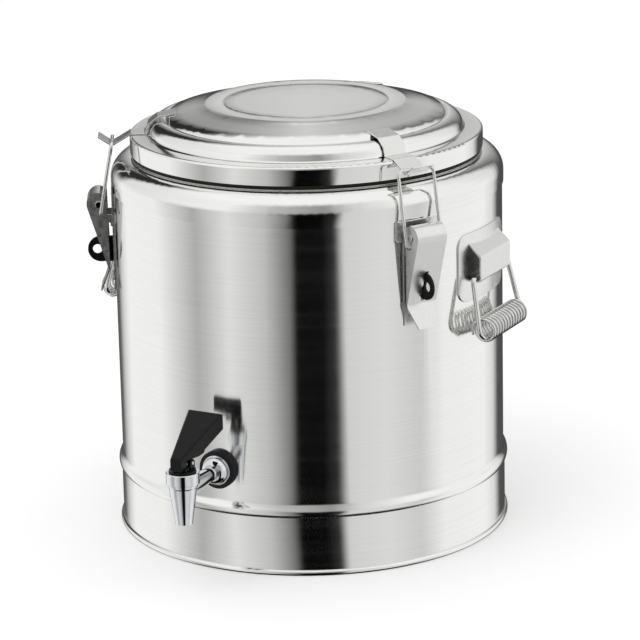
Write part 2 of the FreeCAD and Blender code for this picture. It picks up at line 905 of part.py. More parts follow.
def lever_tab(foot):
    """The finger tab, bent outwards from the channel's foot and narrowed to its tip."""
    lean = math.radians(lever_tab_degrees)
    along = (math.sin(lean), -math.cos(lean))
    across = (-math.cos(lean) * lever_sheet, -math.sin(lean) * lever_sheet)
    start = (foot[0] - lever_tab_inset, foot[1] + lever_tab_lap)
    tip = (start[0] + lever_tab_length * along[0], start[1] + lever_tab_length * along[1])
    back_tip = (tip[0] + across[0], tip[1] + across[1])
    back_start = (start[0] + across[0], start[1] + across[1])
    half = lever_width / 2
    tip_half = lever_tab_tip_width / 2
    strip = prism(start, [tip, back_tip, back_start], -half, half)
    shoulder = foot[1] - lever_tab_shoulder
    tip_flat = tip[1] - lever_tab_tip_flat
    shape = plate(
        (-half, foot[1] + past),
        [
            (half, foot[1] + past),
            (half, shoulder),
            (tip_half, tip_flat),
            (-tip_half, tip_flat),
            (-half, shoulder),
        ],
        body_radius - past,
        tip[0] + past,
    )
    return strip.common(shape)


def hook_wire():
    """The wire loop that is hung in the lever and pulls on the strap's groove."""
    seat = groove_seat()
    bar = (seat[0], seat[1] + hook_groove_gap)
    half = hook_width / 2
    end_half = lever_width / 2 - lever_sheet - hook_end_inside
    points = [
        in_plane(hook_end, -end_half),
        in_plane(hook_end, -half),
        in_plane(bar, -half),
        in_plane(bar, half),
        in_plane(hook_end, half),
        in_plane(hook_end, end_half),
    ]
    bends = [hook_end_bend, hook_corner, hook_corner, hook_end_bend]
    path = rounded_path(points, bends)
    return wire_along(path, hook_wire_radius, points[0], Vector(-1, 0, 0))


def padlock_eye():
    """The black staple that stands through the lever's slot and takes a padlock."""
    centre = (body_radius + eye_centre_offset, eye_height)
    inner = body_radius + latch_base_sheet
    half = eye_sheet / 2
    root = inner - latch_base_sheet
    low = (root, eye_height - eye_radius)
    high = (root, eye_height + eye_radius)
    bend = (polar(centre, eye_radius, 0), (centre[0], high[1]))
    eye = prism(low, [(centre[0], low[1]), bend, high], -half, half)
    hole = axle(eye_hole_radius, (body_radius + eye_hole_offset, eye_height), eye_sheet)
    return eye.cut(column(inner, low[1] - past, high[1] + past)).cut(hole)


def rivet_places():
    """The azimuth offset and height of each rivet of a latch's base."""
    side_angle = math.degrees(math.asin(rivet_side / body_radius))
    places = []
    for side in (-side_angle, side_angle):
        places += [(side, latch_base_top - drop) for drop in rivet_drops]
    return places


def rivet_holes():
    """The shapes that drill one latch's rivet holes through the plate and the shell."""
    holes = []
    for side, height in rivet_places():
        holes.append(spoke(rivet_radius, body_radius - past, body_radius + past, height, side))
    return holes


def latch_rivets():
    """Round-headed rivets that hold one latch's base to the shell."""
    outer = body_radius + latch_base_sheet
    rivets = []
    for side, height in rivet_places():
        low = height - rivet_head_radius - past
        high = height + rivet_head_radius + past
        shank = spoke(rivet_radius, foam_radius - past, outer + rivet_head_height / 2, height, side)
        head = spoke(rivet_head_radius, outer - past, outer + rivet_head_height, height, side)
        head = head.cut(column(outer, low, high))
        rivets.append(fused([shank, head]).cut(column(foam_radius, low, high)))
    return rivets


def handle_bracket():
    """A curved plate on the wall with a raised bridge that the bail hangs in."""
    half = bracket_width / 2
    corner = bracket_corner
    low = bracket_bottom
    high = bracket_top

    def bend(centre_side, centre_z, angle, end):
        return (polar((centre_side, centre_z), corner, angle), end)

    sheet = plate(
        (-half + corner, low),
        [
            (half - corner, low),
            bend(half - corner, low + corner, -45, (half, low + corner)),
            (half, high - corner),
            bend(half - corner, high - corner, 45, (half - corner, high)),
            (-half + corner, high),
            bend(-half + corner, high - corner, 135, (-half, high - corner)),
            (-half, low + corner),
            bend(-half + corner, low + corner, 225, (-half + corner, low)),
        ],
        body_radius - half,
        body_radius + past,
    )
    outer = body_radius + bracket_sheet
    sheet = sheet.common(column(outer, low, high))
    bridge = bridge_block(0.0)
    tunnel = bridge_block(bracket_sheet)
    bracket = fused([sheet, bridge.cut(tunnel)])
    return bracket.cut(column(body_radius, low - past, high + past))


def bridge_block(inset):
    """The pressed bridge, with a sloping roof, or the tunnel inside its sheet."""
    front = body_radius + socket_depth - inset
    bottom = socket_bottom + inset
    front_top = socket_bottom + socket_front_height - inset
    roof_top = socket_bottom + socket_height - inset
    root = body_radius - past
    half = socket_width / 2
    if inset > 0:
        half += past
    slope = (socket_height - socket_front_height) / socket_depth
    block_shape = prism(
        (root, bottom),
        [(front, bottom), (front, front_top), (root, roof_top + past * slope)],
        -half,
        half,
    )
    radius = socket_edge_radius - inset / 2
    corners = []
    for height in (bottom, front_top):
        corners += edges_through(block_shape, in_plane((front, height)))
    return block_shape.makeFillet(radius, corners)


def bail():
    """The handle's wire, bent to hang from both ends of the bridge."""
    end = socket_width / 2 - bail_end_inset
    top = bail_pivot_z
    foot = bail_pivot_z - bail_drop
    sides = [end, bail_shoulder, bail_foot]
    heights = [top, top, foot]
    points = [in_plane((bail_pivot_r, z), -side) for side, z in zip(sides, heights)]
    points += [in_plane((bail_pivot_r, z), side) for side, z in zip(sides[::-1], heights[::-1])]
    bends = [bail_top_bend, bail_foot_bend, bail_foot_bend, bail_top_bend]
    path = rounded_path(points, bends)
    return leaned(wire_along(path, bail_wire_radius, points[0], Vector(-1, 0, 0)))


def leaned(shape):
    """Tips a hanging piece away from the wall, about the bail's pivot."""
    shape.rotate(in_plane((bail_pivot_r, bail_pivot_z)), -SIDEWAYS, bail_lean_degrees)
    return shape


def coil_grip():
    """The spring that sleeves the bail's foot. The foot wire runs in its lower side."""
    centre_radius = grip_radius - grip_wire_radius
    spring = coil(centre_radius, grip_wire_radius, grip_turns, grip_pitch, "coil grip")
    bore = grip_radius - 2 * grip_wire_radius
    rise = bore - bail_wire_radius - grip_seat_gap
    start = -grip_turns * grip_pitch / 2
    spring.translate(Vector(start, -bail_pivot_r, bail_pivot_z - bail_drop + rise))
    return leaned(spring)


def tap_sleeve():
    """A tube through the insulation that the tap's thread passes through."""
    low = tap_height - tap_sleeve_radius - past
    high = tap_height + tap_sleeve_radius + past
    bore_radius = tap_sleeve_radius - tap_sleeve_sheet
    tube = spoke(tap_sleeve_radius, tank_radius - past, body_radius + past, tap_height)
    tube = tube.cut(spoke(bore_radius, tank_radius - 2 * past, body_radius + 2 * past, tap_height))
    tube = tube.cut(column(tank_outside, low, high))
    return tube.common(column(foam_radius, low, high))


def tap_gasket():
    """The rubber ring between the wall and the tap's flange."""
    low = tap_height - tap_gasket_radius - past
    high = tap_height + tap_gasket_radius + past
    face = body_radius + tap_gasket_thickness
    ring = spoke(tap_gasket_radius, body_radius - past, face, tap_height)
    ring = ring.cut(spoke(tap_thread_radius, body_radius - 2 * past, face + past, tap_height))
    return ring.cut(column(body_radius, low, high))


def tap_flange():
    """The domed escutcheon on the gasket."""
    base = body_radius + tap_gasket_thickness
    rim = base + tap_flange_rim
    top = base + tap_dome_height
    crown = tap_neck_radius + tap_neck_gap
    middle = (
        (tap_dome_radius + crown) / 2 + tap_dome_swell,
        (rim + top) / 2 + tap_dome_swell,
    )

    def place(point):
        return Vector(0, -point[1], tap_height + point[0])

    profile = outline(
        (tap_thread_radius, base),
        [
            (tap_flange_radius, base),
            (tap_flange_radius, rim - tap_flange_edge),
            (tap_flange_radius - tap_flange_edge, rim),
            (tap_dome_radius, rim),
            (middle, (crown, top)),
            (tap_thread_radius, top),
        ],
        place,
    )
    return profile.revolve(Vector(0, 0, tap_height), OUTWARDS, 360)


def tap_body():
    """The tap's casting: threaded tail, tapered neck, valve chamber and spout."""
    tail_end = tank_radius - tap_inside_length
    neck_start = body_radius + tap_gasket_thickness + tap_dome_height
    tail = spoke(tap_thread_radius, tail_end, neck_start, tap_height)
    neck = Part.makeCone(
        tap_neck_radius,
        tap_root_radius,
        spout_r - neck_start,
        Vector(0, -neck_start, tap_height),
        OUTWARDS,
    )
    neck = neck.cut(column(collar_radius + collar_gap, collar_bottom, collar_top, spout_r))
    shoulder = collar_bottom - spout_shoulder_height
    barrel = outline(
        (0, spout_bottom),
        [
            (spout_tip_radius, spout_bottom),
            (spout_shoulder_radius - spout_shoulder_inset, shoulder - spout_shoulder_ramp),
            (spout_shoulder_radius, shoulder),
            (spout_shoulder_radius, collar_bottom),
            (spout_thread_radius, collar_bottom),
            (spout_thread_radius, spout_thread_top),
            (0, spout_thread_top),
        ],
    ).revolve(CENTRE, UP, 360)
    barrel.translate(OUTWARDS * spout_r)
    body = fused([tail, neck, barrel])
    body = body.cut(column(valve_chamber_radius, valve_seat, spout_thread_top + past, spout_r))
    body = body.cut(column(spout_outlet_radius, spout_bottom - past, valve_seat + past, spout_r))
    return body.cut(spoke(tap_bore_radius, tail_end - past, spout_r, tap_height))


def tap_washer():
    """The silicone washer against the inside of the tank."""
    low = tap_height - washer_radius - past
    high = tap_height + washer_radius + past
    face = tank_radius - washer_thickness
    ring = spoke(washer_radius, face, tank_radius + past, tap_height)
    ring = ring.cut(spoke(tap_thread_radius, face - past, tank_radius + 2 * past, tap_height))
    return ring.common(column(tank_radius, low, high))


def tap_back_nut():
    """The hexagon nut that pulls the tap against both walls."""
    outer = tank_radius - washer_thickness
    corner = back_nut_flats / 2 / math.cos(math.radians(30))
    corners = []
    for index in range(7):
        angle = math.radians(60 * index)
        side = corner * math.cos(angle)
        corners.append(Vector(side, -outer, tap_height + corner * math.sin(angle)))
    face = Part.Face(Part.makePolygon(corners))
    nut = face.extrude(-OUTWARDS * back_nut_thickness)
    inner = outer - back_nut_thickness
    return nut.cut(spoke(tap_thread_radius, inner - past, outer + past, tap_height))


def collar_nut():
    """The ring that clamps the bonnet on the tap's body."""
    lip = collar_top - collar_lip
    ring = column(collar_radius, collar_bottom, collar_top, spout_r)
    ring = ring.makeChamfer(collar_chamfer, edges_at(ring, collar_top))
    ring = ring.cut(column(spout_thread_radius, collar_bottom - past, lip, spout_r))
    ring = ring.cut(column(bonnet_flange_radius, spout_thread_top, lip, spout_r))
    return ring.cut(column(collar_mouth_radius, lip - past, collar_top + past, spout_r))


def edges_at(shape, height):
    """The edges of a shape that lie level at a height."""
    return [edge for edge in shape.Edges if all(abs(v.Z - height) < 1e-6 for v in edge.Vertexes)]


def tap_bonnet():
    """The black cap on the valve chamber, with two lugs for the lever's pin."""
    lip = collar_top - collar_lip
    hub_top = collar_top + bonnet_hub_height
    plug_bottom = spout_thread_top - bonnet_plug_depth
    pin = (lever_pin_r, lever_pin_z)
    pieces = [
        column(bonnet_flange_radius, spout_thread_top, lip, spout_r),
        column(bonnet_hub_radius, spout_thread_top, hub_top, spout_r),
        column(bonnet_plug_radius, plug_bottom, lip, spout_r),
    ]
    left = (lever_pin_r - lug_radius, spout_thread_top)
    right = (lever_pin_r + lug_radius, spout_thread_top)
    bend = (polar(pin, lug_radius, 90), (left[0], lever_pin_z))
    for side in (-lug_inside - lug_sheet, lug_inside):
        steps = [right, (right[0], lever_pin_z), bend]
        pieces.append(prism(left, steps, side, side + lug_sheet))
    bonnet = fused(pieces)
    stem_hole = column(stem_radius + stem_gap, plug_bottom - past, hub_top + past, spout_r)
    return bonnet.cut(stem_hole).cut(axle(lever_pin_radius, pin, 2 * lug_inside))


def stem_head_bottom():
    """The height of the disc on the stem's foot, inside the seat cup."""
    cup_top = valve_seat + seat_gap + seat_cup_height
    return cup_top - stem_head_cover - stem_head_height


def valve_stem():
    """The rod that lifts the seat cup off the seat."""
    bottom = stem_head_bottom()
    rod = column(stem_radius, bottom, lever_pin_z + stem_top_above_pin, spout_r)
    head = column(stem_head_radius, bottom, bottom + stem_head_height, spout_r)
    return fused([rod, head]).cut(stem_cross_pin())


def stem_cross_pin():
    """The pin by which the lever lifts the stem."""
    half = paddle_neck_width / 2 - cross_pin_inset
    return axle(cross_pin_radius, (spout_r, lever_pin_z), half)


def seat_cup():
    """The silicone cup that closes the outlet."""
    bottom = valve_seat + seat_gap
    top = bottom + seat_cup_height
    pocket = stem_head_bottom()
    cup = column(seat_cup_radius, bottom, top, spout_r)
    cup = cup.cut(column(stem_head_radius, pocket, pocket + stem_head_height, spout_r))
    return cup.cut(column(stem_radius, pocket, top + past, spout_r))


def valve_spring():
    """The spring that keeps the seat cup closed."""
    low = valve_seat + 2 * seat_gap + seat_cup_height + spring_wire_radius
    high = spout_thread_top - bonnet_plug_depth - seat_gap - spring_wire_radius
    pitch = (high - low) / spring_turns
    spring = coil(spring_radius, spring_wire_radius, spring_turns, pitch, "valve spring")
    spring.rotate(CENTRE, Vector(0, 1, 0), -90)
    spring.translate(Vector(0, -spout_r, low))
    return spring


def lever_pin():
    """The pin across the bonnet's lugs that the tap's lever turns on."""
    half = lug_inside + lug_sheet + lever_pin_end
    return axle(lever_pin_radius, (lever_pin_r, lever_pin_z), half)


def paddle_blade(belly):
    """The lever's wide blade, cut from a side view and a plan, with bevelled top edges."""
    front = spout_r + paddle_front_reach
    back = spout_r - paddle_back_reach
    front_top = lever_pin_z + paddle_front_rise
    back_top = lever_pin_z + paddle_back_rise
    step_r = spout_r - paddle_step_reach
    slope = (back_top - front_top) / (front - back)
    step_top = front_top + (front - step_r) * slope - paddle_back_thickness
    neck_half = paddle_neck_width / 2
    back_half = paddle_back_width / 2
    profile = prism(
        (front, front_top),
        [
            (back, back_top),
            (back, back_top - paddle_back_thickness),
            (step_r, step_top),
            (step_r + paddle_step_ramp, belly + paddle_step_rise),
            (spout_r - paddle_belly_reach, belly),
            (front, belly),
        ],
        -back_half,
        back_half,
    )
    low = belly - past

    def from_above(point):
        return Vector(point[0], -point[1], low)

    plan = outline(
        (-neck_half, front),
        [(neck_half, front), (back_half, back), (-back_half, back)],
        from_above,
    ).extrude(UP * (back_top + past - low))
    blade = profile.common(plan)
    crest = [in_plane((front, front_top), side) for side in (-neck_half, neck_half)]
    crest += [in_plane((back, back_top), side) for side in (-back_half, back_half)]

    def on_crest(edge):
        return all(
            any(vertex.Point.distanceToPoint(corner) < 1e-4 for corner in crest)
            for vertex in edge.Vertexes
        )

    return blade.makeChamfer(paddle_bevel, [edge for edge in blade.Edges if on_crest(edge)])


def tap_lever():
    """The black paddle: pressing its wide back edge down lifts the stem."""
    front = spout_r + paddle_front_reach
    belly = lever_pin_z + paddle_belly_rise
    neck_half = paddle_neck_width / 2
    pin = (lever_pin_r, lever_pin_z)
    heel_radius = lever_pin_rise - bonnet_hub_height - paddle_heel_gap
    heel = (lever_pin_r - heel_radius, lever_pin_z)
    sole = (lever_pin_r, lever_pin_z - heel_radius)
    top = belly + paddle_step_rise
    neck = prism(
        heel,
        [(polar(pin, heel_radius, 225), sole), (front, sole[1]), (front, top), (heel[0], top)],
        -neck_half,
        neck_half,
    )
    lever = fused([paddle_blade(belly), neck])
    slot_half = paddle_slot_width / 2
    slot = block(
        -slot_half,
        slot_half,
        heel[0] - past,
        spout_r + stem_radius + paddle_slot_play,
        sole[1] - past,
        lever_pin_z + stem_top_above_pin + paddle_slot_roof,
    )
    high_play = cross_pin_radius + paddle_pin_play
    long_play = high_play + 2 * paddle_pin_play
    window = block(
        -2 * neck_half,
        2 * neck_half,
        spout_r - long_play,
        spout_r + long_play,
        lever_pin_z - high_play,
        lever_pin_z + high_play,
    )
    lever = lever.cut(slot).cut(window)
    return lever.cut(axle(lever_pin_radius + lever_pin_gap, pin, 2 * neck_half))


def drilled_shell():
    """The outer shell with its holes for the tap and the latches' rivets."""
    tap_hole = spoke(
        tap_thread_radius + tap_hole_gap, tank_radius, body_radius + past, tap_height
    )
    holes = [tap_hole]
    for azimuth in latch_azimuths.values():
        holes += [at_azimuth(hole, azimuth) for hole in rivet_holes()]
    return outer_shell().cut(holes)


def main():
    os.makedirs("parts", exist_ok=True)
    save("outer_shell", drilled_shell())
    save("base_skirt", base_skirt())
    save("bottom_plate", bottom_plate())
    save("shoulder_ring", shoulder_ring())
    save("inner_tank", inner_tank())
    save("body_foam", body_foam())
    save("lid_cover", lid_cover())
    save("lid_pan", lid_pan())
    save("lid_foam", lid_foam())
    save("lid_seal", lid_seal())

    strap = lid_strap()
    base = latch_base().cut(rivet_holes())
    pin = latch_pin()
    lever = latch_lever()
    hook = hook_wire()
    eye = padlock_eye()
    rivets = latch_rivets()
    all_rivets = []
    for side, azimuth in latch_azimuths.items():
        save("lid_strap_" + side, at_azimuth(strap, azimuth))
        save("latch_base_" + side, at_azimuth(base, azimuth))
        save("latch_pin_" + side, at_azimuth(pin, azimuth))
        save("latch_lever_" + side, at_azimuth(lever, azimuth))
        save("latch_hook_" + side, at_azimuth(hook, azimuth))
        save("padlock_eye_" + side, at_azimuth(eye, azimuth))
        all_rivets += [at_azimuth(rivet, azimuth) for rivet in rivets]
    save("latch_rivets", Part.makeCompound(all_rivets))

    bracket = handle_bracket()
    handle = bail()
    grip = coil_grip()
    for side, azimuth in handle_azimuths.items():
        save("handle_bracket_" + side, at_azimuth(bracket, azimuth))
        save("handle_bail_" + side, at_azimuth(handle, azimuth))
        save("handle_coil_" + side, at_azimuth(grip, azimuth))

    save("tap_sleeve", tap_sleeve())
    save("tap_gasket", tap_gasket())
    save("tap_flange", tap_flange())
    save("tap_body", tap_body())
    save("tap_washer", tap_washer())
    save("tap_back_nut", tap_back_nut())
    save("tap_collar_nut", collar_nut())
    save("tap_bonnet", tap_bonnet())
    save("tap_valve_stem", valve_stem())
    save("tap_cross_pin", stem_cross_pin())
    save("tap_seat_cup", seat_cup())
    save("tap_valve_spring", valve_spring())
    save("tap_lever_pin", lever_pin())
    save("tap_lever", tap_lever())


main()
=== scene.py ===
# %% [markdown]
# # An insulated steel drink container, dressed for its portrait
# The object is a catering urn that keeps drinks hot: a double steel wall with foam between,
# a spun lid held by three toggle latches, two bail handles with spring grips and a small tap.
# Nearly everything on it is stainless steel, so this lesson is mostly about how steel that
# was rolled, spun, stamped or drawn differs to the eye, and about the studio around it.
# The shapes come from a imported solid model. This script gives them edges, finishes and light.

# %% Load the solid model
import json
import math

import bmesh
import bpy
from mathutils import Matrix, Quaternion, Vector

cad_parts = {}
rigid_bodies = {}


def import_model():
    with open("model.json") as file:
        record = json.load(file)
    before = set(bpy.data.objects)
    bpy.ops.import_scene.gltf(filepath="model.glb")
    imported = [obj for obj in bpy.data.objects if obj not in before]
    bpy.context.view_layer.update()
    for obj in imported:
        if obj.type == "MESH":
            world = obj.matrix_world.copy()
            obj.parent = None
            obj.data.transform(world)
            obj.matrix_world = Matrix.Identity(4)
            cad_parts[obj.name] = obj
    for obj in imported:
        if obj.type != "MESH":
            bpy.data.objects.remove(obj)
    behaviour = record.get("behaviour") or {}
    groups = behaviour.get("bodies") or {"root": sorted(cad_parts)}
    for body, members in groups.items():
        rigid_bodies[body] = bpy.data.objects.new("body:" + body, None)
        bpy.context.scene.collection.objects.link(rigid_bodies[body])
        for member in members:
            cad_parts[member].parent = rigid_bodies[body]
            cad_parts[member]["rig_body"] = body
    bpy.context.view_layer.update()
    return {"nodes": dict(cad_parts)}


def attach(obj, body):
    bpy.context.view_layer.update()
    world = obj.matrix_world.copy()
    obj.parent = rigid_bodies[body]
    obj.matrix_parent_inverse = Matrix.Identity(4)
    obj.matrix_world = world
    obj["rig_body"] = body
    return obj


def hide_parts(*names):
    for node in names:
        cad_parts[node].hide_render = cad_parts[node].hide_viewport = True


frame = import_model()
nodes = frame["nodes"]

# %% [markdown]
# ## What the whole script shares
# All lengths are in metres. Angles round the urn are measured from the tap, which points
# along -Y, and grow counter-clockwise from above. Colours are written as sRGB hex and turned
# linear, because that is what the shaders and lamps compute with.

# %% Shared values
CAMERA_ANGLE = 28.0
IMAGE_SIZE = 640
MM_PER_METRE = 1000


def linear(hex_colour):
    """The linear red, green, blue and alpha of an sRGB hex colour such as 'c8c8c6'."""
    channels = [int(hex_colour[i : i + 2], 16) / 255 for i in (0, 2, 4)]
    return [c / 12.92 if c <= 0.04045 else ((c + 0.055) / 1.055) ** 2.4 for c in channels] + [1.0]


def around_the_urn(angle, distance, height):
    """The place at an angle from the camera's side, a distance from the axis and a height."""
    turn = math.radians(CAMERA_ANGLE + angle)
    return Vector((distance * math.sin(turn), -distance * math.cos(turn), height))


print("a light steel, linear:", [round(c, 3) for c in linear("d6d6d4")])
print("one metre out on the camera's side:", list(around_the_urn(0, 1, 0)))

# %% [markdown]
# ## A small helper for materials
# Every finish here is a handful of nodes around one Principled shader. One function adds a
# node with its settings and its links, and another starts a material, so that each finish
# below reads as a list of what makes it.

# %% Node helper


def add_node(tree, kind, settings=None, **inputs):
    """Adds one node. Inputs are values or output sockets, named with _ for a space.

    An input that is called n0, n1 and so on is meant by its number instead of its name.
    """
    node = tree.nodes.new(kind)
    for name, value in (settings or {}).items():
        setattr(node, name, value)
    for name, value in inputs.items():
        if name.startswith("n") and name[1:].isdigit():
            socket = node.inputs[int(name[1:])]
        else:
            socket = node.inputs[name.replace("_", " ")]
        if isinstance(value, bpy.types.NodeSocket):
            tree.links.new(value, socket)
        else:
            socket.default_value = value
    return node


def start_material(name, **shader_inputs):
    """A material with one Principled shader. Returns the material, its tree and shader."""
    material = bpy.data.materials.new(name)
    material.use_nodes = True
    tree = material.node_tree
    tree.nodes.clear()
    shader = add_node(tree, "ShaderNodeBsdfPrincipled", **shader_inputs)
    add_node(tree, "ShaderNodeOutputMaterial", Surface=shader.outputs[0])
    return material, tree, shader


print("node helpers:", add_node.__name__, "and", start_material.__name__)

# %% [markdown]
# ## Where the brush ran
# The wall was polished with an abrasive belt while the drum turned, and the lid was spun, so
# on both the scratches run round the axis. Distance from the axis plus height rises along
# the wall as well as across the lid and stays the same round the urn. A noise that is read
# finely along that sum and coarsely sideways gives scratches that run round everywhere,
# with no seam. The same cell holds two small helpers that turn a noise into a range of
# numbers or of colours.

# %% Coordinates for a surface that was worked in the lathe
# Nearly all of a noise texture's values lie between these two.
NOISE_LOW, NOISE_HIGH = 0.3, 0.7


def calculated(tree, operation, first, second):
    """One sum or product."""
    return add_node(
        tree, "ShaderNodeMath", {"operation": operation}, n0=first, n1=second
    ).outputs[0]


def round_the_axis(tree, fine, coarse):
    """Object coordinates stretched so that a noise read at them streaks round the axis."""
    where = add_node(tree, "ShaderNodeTexCoord").outputs["Object"]
    parts = add_node(tree, "ShaderNodeSeparateXYZ", n0=where)
    flat = add_node(tree, "ShaderNodeCombineXYZ", X=parts.outputs[0], Y=parts.outputs[1])
    radius = add_node(
        tree, "ShaderNodeVectorMath", {"operation": "LENGTH"}, n0=flat.outputs[0]
    ).outputs["Value"]
    along = calculated(tree, "ADD", radius, parts.outputs[2])
    return add_node(
        tree,
        "ShaderNodeCombineXYZ",
        X=calculated(tree, "MULTIPLY", parts.outputs[0], coarse),
        Y=calculated(tree, "MULTIPLY", parts.outputs[1], coarse),
        Z=calculated(tree, "MULTIPLY", along, fine),
    ).outputs[0]


def spread(tree, noise, low, high):
    """Maps a noise to a range."""
    return add_node(
        tree, "ShaderNodeMapRange", n0=noise, n1=NOISE_LOW, n2=NOISE_HIGH, n3=low, n4=high
    ).outputs[0]


def shades(tree, factor, dark, light):
    """Mixes two sRGB colours by a factor from 0 to 1."""
    mix = add_node(tree, "ShaderNodeMix", {"data_type": "RGBA"}, n0=factor)
    mix.inputs[6].default_value = linear(dark)
    mix.inputs[7].default_value = linear(light)
    return mix.outputs[2]


print("a noise is read between", NOISE_LOW, "and", NOISE_HIGH)

# %% [markdown]
# ## Lathe-worked stainless steel: wall, skirt, shoulder and lid
# Chromium-nickel stainless steel is a slightly warm grey mirror, dulled by its finish. The
# wall has a fine belt finish: reflections blur along the height but stay crisp round the
# drum, which is what draws the long upright bands of light. The shader's anisotropy does
# this, with its tangent running round the axis and turned a quarter, so that the blur runs
# across the scratches. The shoulder and the lid are buffed afterwards, so they blur less.
# Real scratches are a few hundredths of a millimetre apart and can't show at this size, so
# they are drawn about 0.4 mm apart. Bands some 6 mm wide vary the polish a little, where
# the belt overlapped itself.

# %% Wall and lid steel
SCRATCHES_PER_METRE, SCRATCHES_SIDEWAYS = 2500.0, 9.0
BANDS_PER_METRE, BANDS_SIDEWAYS = 160.0, 5.0
BAND_ROUGHNESS = 0.02
SCRATCH_HEIGHT = 0.00002


def lathe_steel(name, dark, light, roughness, anisotropy, scratch_depth):
    """Steel with scratches round the axis and a polish that is faintly uneven in bands."""
    material, tree, shader = start_material(
        name, Metallic=1.0, Anisotropic=anisotropy, Anisotropic_Rotation=0.25
    )
    tangent = add_node(tree, "ShaderNodeTangent", {"direction_type": "RADIAL", "axis": "Z"})
    tree.links.new(tangent.outputs[0], shader.inputs["Tangent"])
    fine = round_the_axis(tree, SCRATCHES_PER_METRE, SCRATCHES_SIDEWAYS)
    scratches = add_node(
        tree, "ShaderNodeTexNoise", Vector=fine, Scale=1.0, Detail=3.0, Roughness=0.7
    ).outputs[0]
    broad = round_the_axis(tree, BANDS_PER_METRE, BANDS_SIDEWAYS)
    bands = add_node(
        tree, "ShaderNodeTexNoise", Vector=broad, Scale=1.0, Detail=2.0
    ).outputs[0]
    streaked = spread(tree, scratches, *roughness)
    banded = spread(tree, bands, -BAND_ROUGHNESS, BAND_ROUGHNESS)
    tree.links.new(calculated(tree, "ADD", streaked, banded), shader.inputs["Roughness"])
    tint = shades(tree, spread(tree, scratches, 0.0, 1.0), dark, light)
    tree.links.new(tint, shader.inputs["Base Color"])
    bump = add_node(
        tree, "ShaderNodeBump", Strength=scratch_depth, Distance=SCRATCH_HEIGHT, Height=scratches
    )
    tree.links.new(bump.outputs[0], shader.inputs["Normal"])
    return material


belt_finished_steel = lathe_steel(
    "belt_finished_steel", "eeeeec", "f8f8f6", (0.10, 0.14), 0.85, 0.07
)
buffed_spun_steel = lathe_steel("buffed_spun_steel", "eeeeec", "f6f6f4", (0.06, 0.10), 0.6, 0.04)
satin_tank_steel = lathe_steel("satin_tank_steel", "c9c9c6", "dadad7", (0.28, 0.38), 0.6, 0.3)
print([steel.name for steel in (belt_finished_steel, buffed_spun_steel, satin_tank_steel)])

# %% [markdown]
# ## Stamped, drawn and plated metal
# The latches and brackets are stamped from sheet and tumbled in a drum of ceramic chips,
# which leaves a light surface whose reflections blur the same way in every direction. The
# wire is drawn through a die, so it is smoother. The tap is chrome on brass: the plating is
# a near mirror with a colder colour. All three share one recipe with different numbers: a
# fine haze in the gloss, and swells about 11 mm long, as in metal that was pressed or cast.

# %% Fitting steel, wire and chrome
SWELLS_PER_METRE = 90.0
SWELL_HEIGHT = 0.0002


def fitting_metal(name, dark, light, roughness, haze_size, unevenness):
    """Metal with a fine haze and a slightly uneven surface."""
    material, tree, shader = start_material(name, Metallic=1.0)
    where = add_node(tree, "ShaderNodeTexCoord").outputs["Object"]
    haze = add_node(
        tree, "ShaderNodeTexNoise", Vector=where, Scale=1 / haze_size, Detail=4.0
    ).outputs[0]
    tree.links.new(spread(tree, haze, *roughness), shader.inputs["Roughness"])
    tint = shades(tree, spread(tree, haze, 0.0, 1.0), dark, light)
    tree.links.new(tint, shader.inputs["Base Color"])
    swell = add_node(
        tree, "ShaderNodeTexNoise", Vector=where, Scale=SWELLS_PER_METRE, Detail=1.0
    ).outputs[0]
    bump = add_node(
        tree, "ShaderNodeBump", Strength=unevenness, Distance=SWELL_HEIGHT, Height=swell
    )
    tree.links.new(bump.outputs[0], shader.inputs["Normal"])
    return material


tumbled_sheet_steel = fitting_metal(
    "tumbled_sheet_steel", "e6e6e4", "eeeeec", (0.26, 0.34), 0.004, 0.10
)
drawn_wire_steel = fitting_metal(
    "drawn_wire_steel", "dededc", "ececea", (0.07, 0.12), 0.002, 0.05
)
chrome_plated_brass = fitting_metal(
    "chrome_plated_brass", "dfe1e4", "e8eaec", (0.02, 0.05), 0.004, 0.03
)
print([metal.name for metal in (tumbled_sheet_steel, drawn_wire_steel, chrome_plated_brass)])

# %% [markdown]
# ## Plastic, paint, rubber and foam
# The tap's lever is moulded polyamide, black all through, with a gloss from the mould and a
# faint ripple. The padlock eyes are stoved with black paint, which pools a little. A black
# that mirrors a white room looks grey, so the specular level of the blacks is low. Rubber
# and silicone scatter light instead of mirroring it. The foam never shows from outside.

# %% The soft and the black materials
GRAIN_HEIGHT = 0.0001


def non_metal(name, dark, light, roughness, grain_size, grain_depth, ior=1.5, specular=0.5):
    """A non-metal with a fine grain in its colour, gloss and surface."""
    material, tree, shader = start_material(name, IOR=ior, Specular_IOR_Level=specular)
    where = add_node(tree, "ShaderNodeTexCoord").outputs["Object"]
    grain = add_node(
        tree, "ShaderNodeTexNoise", Vector=where, Scale=1 / grain_size, Detail=3.0
    ).outputs[0]
    tree.links.new(spread(tree, grain, *roughness), shader.inputs["Roughness"])
    tint = shades(tree, spread(tree, grain, 0.0, 1.0), dark, light)
    tree.links.new(tint, shader.inputs["Base Color"])
    bump = add_node(
        tree, "ShaderNodeBump", Strength=grain_depth, Distance=GRAIN_HEIGHT, Height=grain
    )
    tree.links.new(bump.outputs[0], shader.inputs["Normal"])
    return material


